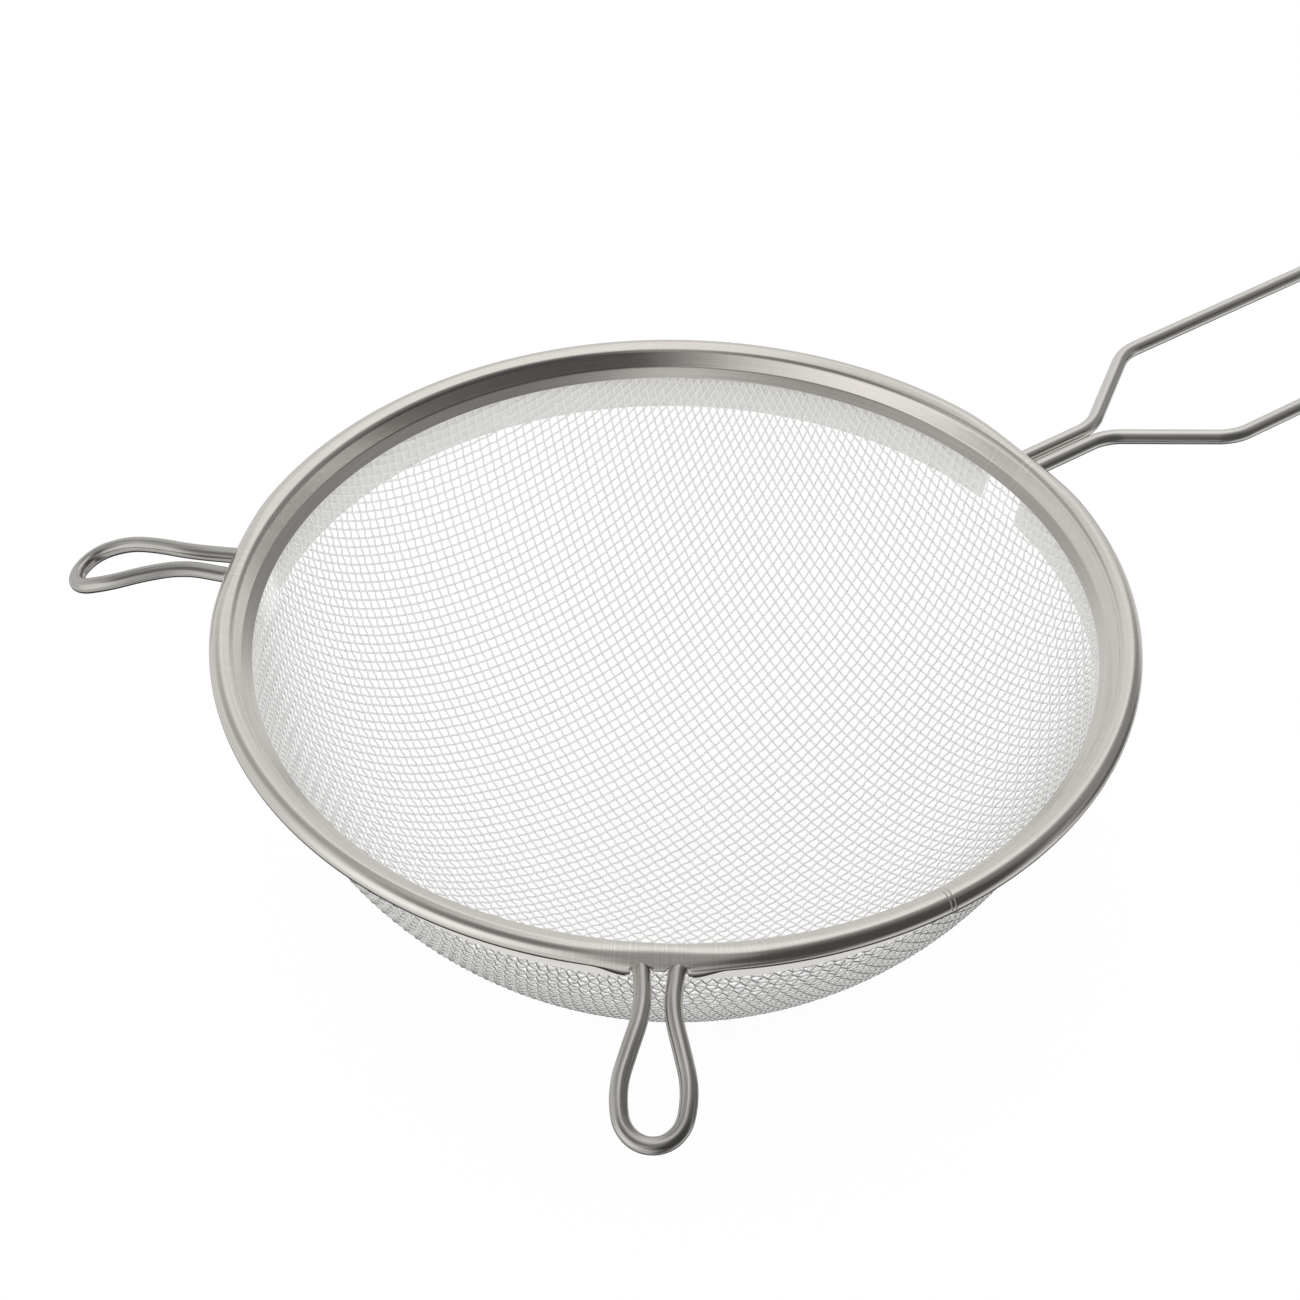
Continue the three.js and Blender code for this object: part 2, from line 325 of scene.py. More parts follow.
def even_stations(line: Array, spacing: float) -> Array:
    """Places points along a line at an even spacing.

    Args:
        line: Points of the line, shape (n, k).
        spacing: Distance wanted between points.

    Returns:
        Points at equal distances along the line, both ends included.
    """
    length = lengths_along(line)
    wanted = np.linspace(0, length[-1], max(2, round(length[-1] / spacing)) + 1)
    return np.stack([np.interp(wanted, length, axis) for axis in line.T], axis=1)


def turned(points: Array, angle: float, height: float) -> Array:
    """Turns points about the bowl's axis and lifts them.

    Args:
        points: Points, shape (n, 3).
        angle: Turn in degrees.
        height: Lift.

    Returns:
        The moved points.
    """
    cos, sin = math.cos(math.radians(angle)), math.sin(math.radians(angle))
    turn = np.array([[cos, sin, 0], [-sin, cos, 0], [0, 0, 1]])
    return points @ turn + np.array([0, 0, height])


def smooth_step(value: Array) -> Array:
    """Eases from 0 to 1 as the value does, with level ends."""
    clipped = np.clip(value, 0, 1)
    return clipped * clipped * (3 - 2 * clipped)


class Shader:
    """The node tree of a material or world, filled by short calls."""

    def __init__(self, owner: bpy.types.Material | bpy.types.World) -> None:
        """Empties the owner's node tree.

        Args:
            owner: The material or world.
        """
        self.owner = owner
        owner.use_nodes = True
        self.tree = owner.node_tree
        self.tree.nodes.clear()

    def node(self, kind: str, settings: dict | None = None, **inputs: object) -> bpy.types.Node:
        """Adds a node.

        Args:
            kind: Blender's type name of the node, without its ShaderNode prefix.
            settings: Properties of the node.
            inputs: Input sockets by name, with underscores for spaces: a value, or a socket to link.

        Returns:
            The node.
        """
        made = self.tree.nodes.new("ShaderNode" + kind)
        for key, value in (settings or {}).items():
            setattr(made, key, value)
        for key, value in inputs.items():
            self.feed(made.inputs[key.replace("_", " ")], value)
        return made

    def feed(self, socket: bpy.types.NodeSocket, value: object) -> None:
        """Links a socket to an input, or sets the input's value.

        Args:
            socket: The input.
            value: A value, or a socket to link.
        """
        if isinstance(value, bpy.types.NodeSocket):
            self.tree.links.new(value, socket)
        else:
            socket.default_value = value

    def math(self, operation: str, first: object, second: object = 0.0) -> bpy.types.NodeSocket:
        """Adds a Math node.

        Args:
            operation: Name of the operation.
            first: First operand, a value or socket.
            second: Second operand, a value or socket.

        Returns:
            The result.
        """
        made = self.node("Math", {"operation": operation})
        self.feed(made.inputs[0], first)
        self.feed(made.inputs[1], second)
        return made.outputs[0]

    def span(
        self, value: object, source: tuple[float, float], target: tuple[float, float],
    ) -> bpy.types.NodeSocket:
        """Maps a value from one range to another, clamped.

        Args:
            value: The value or socket.
            source: Range of the value.
            target: Range of the result.

        Returns:
            The result.
        """
        made = self.node("MapRange", None, Value=value)
        made.inputs["From Min"].default_value, made.inputs["From Max"].default_value = source
        made.inputs["To Min"].default_value, made.inputs["To Max"].default_value = target
        return made.outputs["Result"]

    def flow(self) -> bpy.types.NodeSocket:
        """Gives the flow map of the surface."""
        return self.node("UVMap", {"uv_map": "flow"}).outputs["UV"]

    def wear_and_painted_light(self) -> bpy.types.NodeSocket:
        """Gives the surface's rubbing and painted light: above 0 rubbing, and on the handle painted
        lightening; below 0 painted matt white.
        """
        return self.node("Attribute", {"attribute_name": "wear_and_painted_light"}).outputs["Fac"]

    def painted_white_share(self) -> bpy.types.NodeSocket:
        """Gives how far the surface is painted matt white, from 0 to 1."""
        return self.span(self.wear_and_painted_light(), (-0.9, -0.1), (1.0, 0.0))

    def streaks(self, stretch: tuple[float, float], detail: float = 4.0) -> bpy.types.NodeSocket:
        """Noise on the flow map, stretched.

        Args:
            stretch: Noise cells to a millimetre along and across the flow.
            detail: Octaves of the noise.

        Returns:
            The noise value, about 0.5 in the middle.
        """
        scaled = self.node("Mapping", None, Vector=self.flow(), Scale=(stretch[0], stretch[1], 1.0))
        noise = self.node("TexNoise", None, Vector=scaled.outputs["Vector"], Scale=1.0, Detail=detail)
        return noise.outputs["Fac"]

    def tint(self, amount: object, first: object, second: object) -> bpy.types.NodeSocket:
        """Mixes two colours.

        Args:
            amount: From 0 for the first to 1 for the second colour.
            first: First colour, or a socket.
            second: Second colour, or a socket.

        Returns:
            The mixed colour.
        """
        # The sockets share their names, so they are found by number: 6 and 7 are the colours.
        mix = self.node("Mix", {"data_type": "RGBA"})
        self.feed(mix.inputs[0], amount)
        for socket, colour in ((mix.inputs[6], first), (mix.inputs[7], second)):
            self.feed(socket, (*colour, 1) if isinstance(colour, tuple) else colour)
        return mix.outputs[2]

    def blend(self, share: object, first: object, second: object) -> bpy.types.NodeSocket:
        """Mixes two numbers.

        Args:
            share: From 0 for the first to 1 for the second.
            first: First number, a value or socket.
            second: Second number, a value or socket.

        Returns:
            The mixed number.
        """
        # The sockets share their names, so they are found by number: 2 and 3 are the numbers.
        mix = self.node("Mix", {"data_type": "FLOAT"})
        self.feed(mix.inputs[0], share)
        self.feed(mix.inputs[2], first)
        self.feed(mix.inputs[3], second)
        return mix.outputs[0]

    def both(self, first: bpy.types.Node, second: bpy.types.Node) -> bpy.types.NodeSocket:
        """Adds two shaders.

        Args:
            first: Node of the first shader.
            second: Node of the second shader.

        Returns:
            The sum.
        """
        made = self.node("AddShader")
        self.feed(made.inputs[0], first.outputs[0])
        self.feed(made.inputs[1], second.outputs[0])
        return made.outputs[0]

    def steel(
        self, colour: object, roughness: object, bump: object, depth: float, bright: object = 1.0,
    ) -> bpy.types.Material:
        """Closes the tree with a metal surface.

        Args:
            colour: Reflected colour.
            roughness: Roughness, a value or socket.
            bump: Height of the fine relief, from 0 to 1.
            depth: Depth of the relief in metres.
            bright: Share of mirror-like metal, from 0 for matt to 1.

        Returns:
            The finished material.
        """
        relief = self.node("Bump", None, Strength=1.0, Distance=depth, Height=bump)
        metal = self.node("BsdfPrincipled", None, Metallic=bright, Normal=relief.outputs["Normal"])
        self.feed(metal.inputs["Base Color"], colour)
        self.feed(metal.inputs["Roughness"], roughness)
        self.node("OutputMaterial", None, Surface=metal.outputs["BSDF"])
        return self.owner


@dataclass(frozen=True)
class SatinStrip:
    """Rolled sheet steel: fine polishing lines run round the rim, and rubbing leaves marks across in places;
    its hidden face and its skirt are painted matt white, standing in for light.

    Attributes:
        dark: Metal in the lines.
        light: Metal between them.
        painted_white: Painted white where the strip is fully matt: lightening the hidden face's shade, and a
            painted reflection of the bright floor on the skirt.
        smooth: Least roughness.
        rough: Greatest roughness of the metal.
        matt: Roughness where it is painted matt white.
        line_cells: Noise cells to a millimetre along and across the polishing lines.
        mark_cells: The same for the marks.
        relief: Depth of lines and marks, in metres.
    """

    dark: Colour = (0.72, 0.685, 0.64)
    light: Colour = (0.92, 0.885, 0.835)
    painted_white: Colour = (0.985, 0.975, 0.955)
    smooth: float = 0.15
    rough: float = 0.25
    matt: float = 0.6
    line_cells: tuple[float, float] = (0.03, 5.0)
    mark_cells: tuple[float, float] = (3.0, 0.06)
    relief: float = 0.000006

    def material(self) -> bpy.types.Material:
        """Makes the material.

        Returns:
            The material.
        """
        shader = Shader(bpy.data.materials.new("satin_strip"))
        lines = shader.streaks(self.line_cells)
        marks = shader.span(shader.streaks(self.mark_cells), (0.5, 0.72), (0.0, 1.0))
        rubbed_and_painted_bright = shader.math("MULTIPLY", marks, shader.math("MAXIMUM", shader.wear_and_painted_light(), 0.0))
        matt = shader.painted_white_share()
        brushed = shader.math("MULTIPLY", lines, 0.8)
        grain = shader.math("ADD", brushed, shader.math("MULTIPLY", rubbed_and_painted_bright, 0.35))
        metal = shader.tint(shader.span(grain, (0.2, 0.7), (0.0, 1.0)), self.dark, self.light)
        # Painted matt white where the attribute is below 0: the hidden face, lightening its shade, and the
        # skirt, a painted reflection of the bright floor.
        colour = shader.tint(shader.span(matt, (0.6, 1.0), (0.0, 1.0)), metal, self.painted_white)
        roughness = shader.blend(matt, shader.span(grain, (0.2, 0.8), (self.smooth, self.rough)), self.matt)
        return shader.steel(colour, roughness, grain, self.relief, shader.math("SUBTRACT", 1.0, matt))


@dataclass(frozen=True)
class DrawnWire:
    """Bright drawn wire: long die lines along it and faint darker stretches.

    Attributes:
        dark: Darkest metal.
        light: Lightest metal.
        painted_bright: Lighter metal painted on the handle, standing in for the brighter light that it
            catches.
        smooth: Least roughness.
        rough: Greatest roughness.
        line_cells: Noise cells to a millimetre along and across the die lines.
        stretch_cells: The same for the darker stretches.
        relief: Depth of the lines, in metres.
    """

    dark: Colour = (0.43, 0.415, 0.39)
    light: Colour = (0.70, 0.68, 0.645)
    painted_bright: Colour = (0.90, 0.875, 0.83)
    smooth: float = 0.18
    rough: float = 0.28
    line_cells: tuple[float, float] = (0.04, 3.0)
    stretch_cells: tuple[float, float] = (0.05, 0.12)
    relief: float = 0.000008

    def material(self) -> bpy.types.Material:
        """Makes the material.

        Returns:
            The material.
        """
        shader = Shader(bpy.data.materials.new("drawn_wire"))
        lines = shader.streaks(self.line_cells)
        stretches = shader.streaks(self.stretch_cells, 3.0)
        drawn = shader.math("MULTIPLY", lines, 0.6)
        grain = shader.math("ADD", drawn, shader.math("MULTIPLY", stretches, 0.4))
        metal = shader.tint(shader.span(grain, (0.35, 0.65), (0.0, 1.0)), self.dark, self.light)
        # The handle is painted lighter, standing in for the brighter light that it catches.
        colour = shader.tint(shader.wear_and_painted_light(), metal, self.painted_bright)
        roughness = shader.span(lines, (0.3, 0.7), (self.smooth, self.rough))
        return shader.steel(colour, roughness, lines, self.relief)


@dataclass(frozen=True)
class MeshWire:
    """Fine wire of the weave, bright on its outer side and painted matt white on its inner one, as if brightly
    lit.

    Attributes:
        dark: Darkest metal.
        light: Lightest metal.
        painted_white: Painted white, as if brightly lit, where it is matt.
        smooth: Least roughness.
        rough: Greatest roughness of the metal.
        matt: Roughness where it is painted matt white.
        line_cells: Noise cells to a millimetre along and across the die lines.
        relief: Depth of the lines, in metres.
    """

    dark: Colour = (0.46, 0.45, 0.43)
    light: Colour = (0.74, 0.73, 0.71)
    painted_white: Colour = (0.98, 0.98, 0.97)
    smooth: float = 0.20
    rough: float = 0.30
    matt: float = 0.6
    line_cells: tuple[float, float] = (0.15, 4.0)
    relief: float = 0.000003

    def material(self) -> bpy.types.Material:
        """Makes the material.

        Returns:
            The material.
        """
        shader = Shader(bpy.data.materials.new("mesh_wire"))
        matt = shader.painted_white_share()
        lines = shader.streaks(self.line_cells, 2.0)
        metal = shader.tint(shader.span(lines, (0.3, 0.7), (0.0, 1.0)), self.dark, self.light)
        # Painted matt white on the wires' inner side, as if brightly lit, and all round under the skirt,
        # lightening its shade.
        colour = shader.tint(shader.span(matt, (0.0, 0.6), (0.0, 1.0)), metal, self.painted_white)
        roughness = shader.blend(matt, shader.span(lines, (0.3, 0.7), (self.smooth, self.rough)), self.matt)
        return shader.steel(colour, roughness, lines, self.relief, shader.math("SUBTRACT", 1.0, matt))


class Finishes:
    """The three finishes, each made once."""

    def __init__(self) -> None:
        """Makes the materials."""
        self.materials = {
            Slot.STRIP: SatinStrip().material(),
            Slot.MESH: MeshWire().material(),
            Slot.WIRE: DrawnWire().material(),
        }

    def dress(self, piece: bpy.types.Object, slot: Slot) -> None:
        """Gives a piece the finish of a slot."""
        piece.data.materials.clear()
        piece.data.materials.append(self.materials[slot])

    def add(self, name: str, surface: Surface, slot: Slot, node: str, sharp: float = 40.0) -> None:
        """Makes a piece of the object from a surface, riding on the body and standing for a solid.

        Args:
            name: Name of the piece.
            surface: Its mesh.
            slot: Its finish.
            node: The solid that it stands for.
            sharp: Angle in degrees above which an edge stays sharp.
        """
        mesh = bpy.data.meshes.new(name)
        mesh.vertices.add(len(surface.points))
        mesh.vertices.foreach_set("co", (surface.points * METRE).astype(np.float32).ravel())
        numbers = np.concatenate([surface.quads.ravel(), surface.caps.ravel()]).astype(np.int32)
        sizes = np.concatenate([
            np.full(len(surface.quads), 4), np.full(len(surface.caps), surface.caps.shape[-1])])
        mesh.loops.add(len(numbers))
        mesh.loops.foreach_set("vertex_index", numbers)
        mesh.polygons.add(len(sizes))
        starts = np.concatenate([[0], np.cumsum(sizes)[:-1]]).astype(np.int32)
        mesh.polygons.foreach_set("loop_start", starts)
        flow = mesh.uv_layers.new(name="flow")
        flow.data.foreach_set("uv", surface.flow[numbers].astype(np.float32).ravel())
        wear_and_painted_light = mesh.attributes.new("wear_and_painted_light", "FLOAT", "POINT")
        wear_and_painted_light.data.foreach_set("value", surface.wear_and_painted_light.astype(np.float32))
        mesh.update(calc_edges=True)
        mesh.shade_smooth()
        mesh.set_sharp_from_angle(angle=math.radians(sharp))
        mesh.validate()
        piece = bpy.data.objects.new(name, mesh)
        bpy.context.scene.collection.objects.link(piece)
        self.dress(piece, slot)
        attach(piece, BODY)
        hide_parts(node)
        log.info("%s: %d points, %d faces", name, len(surface.points), len(sizes))


@dataclass
class WovenBowl:
    """The bowl of plain-woven wire, pressed into a cap of a sphere.

    The weave keeps its pitch along every wire, so its squares shear into diamonds towards the rim.

    Attributes:
        wire: Thickness of the wire.
        pitch_along: Distance between crossings on a wire that runs along the handle.
        pitch_across: The same on a wire that runs across it.
        clearance: How far the weave stays inside the outer face of the solid bowl.
        bright_share: How far round from its outer side a wire is bright, as a share of its thickness; the rest
            is painted matt white as if brightly lit.
        covered_ease: Height above the skirt's edge over which the wires become painted matt white all round,
            lightening the skirt's shade.
        sides: Points round a wire.
        steps: Sections from one crossing to the next.
        flow_shift: How far the flow map of each wire is moved on from the one before.
    """

    wire: float = 0.44
    pitch_along: float = 2.33
    pitch_across: float = 2.21
    clearance: float = 0.01
    bright_share: float = 0.8
    covered_ease: float = 1.0
    sides: int = 5
    steps: int = 4
    flow_shift: float = 17.3

    def __post_init__(self) -> None:
        """Works out the sphere that the middle of the weave lies on."""
        mouth, depth = SIZES.mouth_radius, SIZES.bowl_depth
        self.outer = (mouth**2 + depth**2) / (2 * depth)
        self.middle = self.outer - self.wire - self.clearance
        self.mouth_angle = 2 * math.atan2(depth, mouth)

    def crossings(self) -> Array:
        """Works out where the wires cross, as unit vectors from the centre of the sphere.

        The first wire each way is a great circle through the bottom, stepped at its pitch. Each further
        crossing of a quarter is the one diagonally before it, given half a turn about the line from the
        centre through the middle of its two neighbours. The other quarters are mirror images.

        Returns:
            Vectors with shape (2n + 1, 2n + 1, 3), bottom in the middle.
        """
        step_along = 2 * math.asin(self.pitch_along / 2 / self.middle)
        step_across = 2 * math.asin(self.pitch_across / 2 / self.middle)
        count = math.ceil(self.mouth_angle / min(step_along, step_across)) + 2
        steps = np.arange(count + 1)
        level = np.zeros(count + 1)
        quarter = np.zeros((count + 1, count + 1, 3))
        quarter[:, 0] = np.stack([np.sin(steps * step_along), level, -np.cos(steps * step_along)], axis=1)
        quarter[0, :] = np.stack([level, np.sin(steps * step_across), -np.cos(steps * step_across)], axis=1)
        for rank in range(2, 2 * count + 1):
            row = np.arange(max(1, rank - count), min(count, rank - 1) + 1)
            column = rank - row
            axis = unit(quarter[row - 1, column] + quarter[row, column - 1])
            before = quarter[row - 1, column - 1]
            quarter[row, column] = 2 * np.sum(axis * before, axis=1, keepdims=True) * axis - before
        half = np.concatenate([quarter[:0:-1] * np.array([-1, 1, 1]), quarter])
        return np.concatenate([half[:, :0:-1] * np.array([1, -1, 1]), half], axis=1)

    def reach(self, net: Array) -> Array:
        """Finds how many crossings each wire runs from its middle to the mouth.

        Args:
            net: Crossings with the wire's own run as the first axis.

        Returns:
            A number of crossings, with a fraction, for each wire; negative where there is no wire.
        """
        count = net.shape[0] // 2
        polar = np.arccos(np.clip(-net[count:, :, 2], -1, 1))
        beyond = np.maximum.accumulate(polar >= self.mouth_angle, axis=0)
        first = np.argmax(beyond, axis=0)
        last = np.maximum(first - 1, 0)
        wires = np.arange(net.shape[1])
        share = (self.mouth_angle - polar[last, wires]) / (polar[first, wires] - polar[last, wires] + 1e-9)
        return np.where(first > 0, last + share, -1.0)

    def wires(self, net: Array, part: slice, over: float) -> Surface:
        """Carries a small circle along some of the wires of one direction.

        A wire's centre is the point between two crossings on the sphere, raised by half a wire times
        cos(pi * t), where t counts crossings from the wire's middle, so that it goes over and under in turn.
        A wire is painted matt white on its inner side, as if brightly lit, and all round where the skirt
        covers and shades it.

        Args:
            net: Crossings with the wires' own run as the first axis.
            part: Which wires.
            over: 1 or -1, which side the middle wire passes at the bottom.

        Returns:
            The surface of the wires.
        """
        count = net.shape[0] // 2
        number = np.arange(-count, count + 1)[part]
        reach = self.reach(net[:, part])
        kept = reach > 0.5
        net, reach, number = net[:, part][:, kept], reach[kept], number[kept]
        sign = over * np.where(number % 2 == 0, 1.0, -1.0)
        each = np.arange(len(reach))
        wanted = np.linspace(-count, count, 2 * count * self.steps + 1)[:, None]
        run = np.clip(wanted, -reach, reach)

        def centre(turns: Array) -> tuple[Array, Array]:
            """Works out centre points and outward directions.

            Args:
                turns: Counts of crossings from each wire's middle.

            Returns:
                The points and the directions.
            """
            low = np.clip(np.floor(turns).astype(int) + count, 0, 2 * count - 1)
            share = (turns + count - low)[..., None]
            outward = unit((1 - share) * net[low, each] + share * net[low + 1, each])
            lift = self.wire / 2 * sign * np.cos(np.pi * turns)
            return outward * (self.middle + lift)[..., None], outward

        nudge = 0.02
        path, outward = centre(run)
        ahead, _ = centre(run + nudge)
        behind, _ = centre(run - nudge)
        rings = tube(path, unit(ahead - behind), outward, self.wire / 2, self.sides)
        rows, wires = run.shape
        points = rings.transpose(1, 0, 2, 3).reshape(-1, 3) + np.array([0, 0, self.outer])
        start = np.arange(wires) * rows
        quads = grid_quads(rows, self.sides, False, True)[None] + (start * self.sides)[:, None, None, None]
        real = (np.diff(run, axis=0) > 1e-6).T
        first = np.argmax(real, axis=1)
        last = rows - np.argmax(real[:, ::-1], axis=1) - 1
        side = np.arange(self.sides)
        caps = np.concatenate([
            (start + first)[:, None] * self.sides + side,
            (start + last)[:, None] * self.sides + side[::-1]])
        along = (run * self.pitch_along).T[:, :, None] + self.flow_shift * each[:, None, None]
        around = side * self.wire * np.pi / self.sides
        flow = np.stack(np.broadcast_arrays(along, around), axis=-1).reshape(-1, 2)
        # The inner side is painted matt white as if brightly lit, and the whole wire under the skirt,
        # lightening its shade.
        inward = np.clip((1 - np.cos(2 * np.pi * side / self.sides)) / 2 / self.bright_share, 0, 1)
        above_edge = points[:, 2] - SIZES.bead_height + SIZES.skirt_drop
        matt = np.maximum(np.tile(inward, rows * wires), smooth_step(above_edge / self.covered_ease))
        return Surface(points, quads[real].reshape(-1, 4), caps, flow, -matt).compact()

    def build(self) -> dict[str, Surface]:
        """Builds the weave as four sets of wires.

        Returns:
            The surface of each set, by name.
        """
        net = self.crossings()
        across = net.transpose(1, 0, 2)
        middle = net.shape[0] // 2
        low, high = slice(None, middle), slice(middle, None)
        return {
            "mesh_warp_left": self.wires(net, low, 1.0),
            "mesh_warp_right": self.wires(net, high, 1.0),
            "mesh_weft_front": self.wires(across, low, -1.0),
            "mesh_weft_back": self.wires(across, high, -1.0),
        }

    def dress(self, finishes: Finishes) -> None:
        """Adds the sets of wires in their finish."""
        for name, surface in self.build().items():
            finishes.add(name, surface, Slot.MESH, "mesh_bowl")


@dataclass
class WirePair:
    """Two runs of wire that leave the bead side by side and join at their far end.

    Attributes:
        name: Name of the piece and of its solid.
        angle: Degrees round from the handle.
        root: Spacing of the two runs where they leave the bead.
        drop: How far the runs lie below the bead's centre.
        corners: Corners of one run beyond the bead: distance from the rim, half the spacing, bend radius.
        droop: How far the far end hangs below the runs, along a parabola.
        droop_start: Distance from the rim where the droop starts.
        foot_reach: Distance from the middle of the pair to the end of each foot in the bead.
        foot_bend: Bend where a foot turns out of the bead.
        foot_start: Distance from that bend to where the foot lies centred in the bead.
        rubbed_and_painted_bright: How far the wire is painted lighter, standing in for the brighter light that
            it catches, from 0 to 1.
        spacing: Distance between sections along the wire.
        sides: Points round the wire.
    """

    name: str
    angle: float
    root: float
    drop: float
    corners: tuple[tuple[float, float, float], ...]
    droop: float = 0.0
    droop_start: float = 0.0
    foot_reach: float = 15.0
    foot_bend: float = 3.0
    foot_start: float = 3.2
    rubbed_and_painted_bright: float = 0.0
    spacing: float = 0.7
    sides: int = 24

    def centre_line(self) -> Array:
        """Works out the centre line of both runs.

        One run follows the bead's circle, turns out of it and goes on through its corners; the other is
        its mirror image. Below the bead's centre it drops by a smooth step along the foot, then by the
        droop times the square of the share of the way out.

        Returns:
            Points at an even spacing, before turning to the pair's angle.
        """
        root = self.root / 2
        places = np.linspace(self.foot_reach, root + self.foot_start, 8)
        foot = [((math.sqrt(SIZES.bead_centre**2 - across**2), across), 0.0) for across in places]
        out = [((SIZES.rim_radius + reach, half), bend) for reach, half, bend in self.corners]
        flat = rounded_line([*foot, ((SIZES.bead_centre, root), self.foot_bend), *out])
        flat = even_stations(flat, self.spacing)
        inside = (root + self.foot_start - np.abs(flat[:, 1])) / self.foot_start
        dip = np.where(flat[:, 0] > SIZES.bead_centre + self.foot_bend, 1.0, smooth_step(inside))
        far = SIZES.rim_radius + self.corners[-1][0]
        start = SIZES.rim_radius + self.droop_start
        share = np.clip((flat[:, 0] - start) / (far - start), 0, None)
        height = -self.drop * dip - self.droop * share**2
        run = np.column_stack([flat, height])
        return np.concatenate([run, run[-2::-1] * np.array([1, -1, 1])])

    def build(self) -> Surface:
        """Carries a circle along the centre line.

        Returns:
            The surface of the wire, in its place on the rim.
        """
        path = self.centre_line()
        along = unit(np.gradient(path, axis=0))
        up = np.broadcast_to(np.array([0.0, 0.0, 1.0]), path.shape)
        rings = tube(path, along, up, SIZES.wire / 2, self.sides)
        rows = len(path)
        quads = grid_quads(rows, self.sides, False, True).reshape(-1, 4)
        side = np.arange(self.sides)
        caps = np.stack([side, (rows - 1) * self.sides + side[::-1]])
        length = lengths_along(path)
        around = side * np.pi * SIZES.wire / self.sides
        flow = np.stack(np.broadcast_arrays(length[:, None], around), axis=-1).reshape(-1, 2)
        points = turned(rings.reshape(-1, 3), self.angle, SIZES.bead_height)
        return Surface(points, quads, caps, flow, np.full(len(points), self.rubbed_and_painted_bright))

    def dress(self, finishes: Finishes) -> None:
        """Adds the pair in its finish."""
        finishes.add(self.name, self.build(), Slot.WIRE, self.name)


